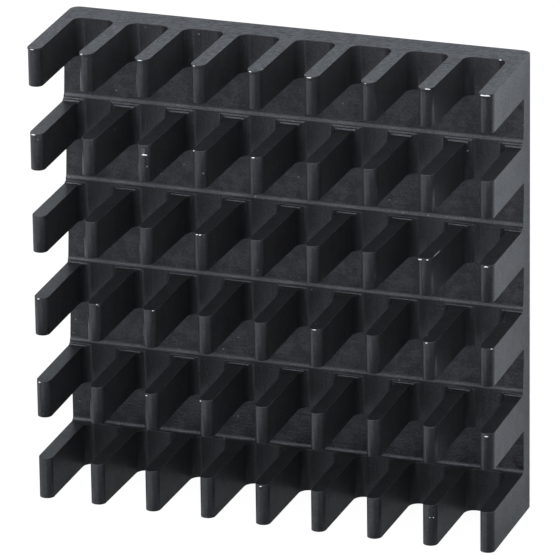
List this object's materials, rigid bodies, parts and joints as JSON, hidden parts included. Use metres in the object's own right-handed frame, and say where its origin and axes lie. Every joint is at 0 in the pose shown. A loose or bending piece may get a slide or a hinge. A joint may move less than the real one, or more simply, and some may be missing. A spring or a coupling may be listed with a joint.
{
  "type": "pin fin heat sink",
  "caption": "Square black anodised aluminium heat sink: a flat base with extruded fins that are sawn across into rows of rectangular cooling pins.",
  "frame": {"origin": "middle of the flat mounting face, on the surface that the sink is set on", "axes": "+Z from the mounting face towards the pin tips, +X across the fins, +Y along the extrusion"},
  "size_m": [0.04, 0.04, 0.011],
  "materials": {
    "black_anodised": "satin black anodised extrusion, with saw marks on the sawn faces"
  },
  "bodies": {
    "root": {"heat_sink": "black_anodised"}
  },
  "joints": []
}
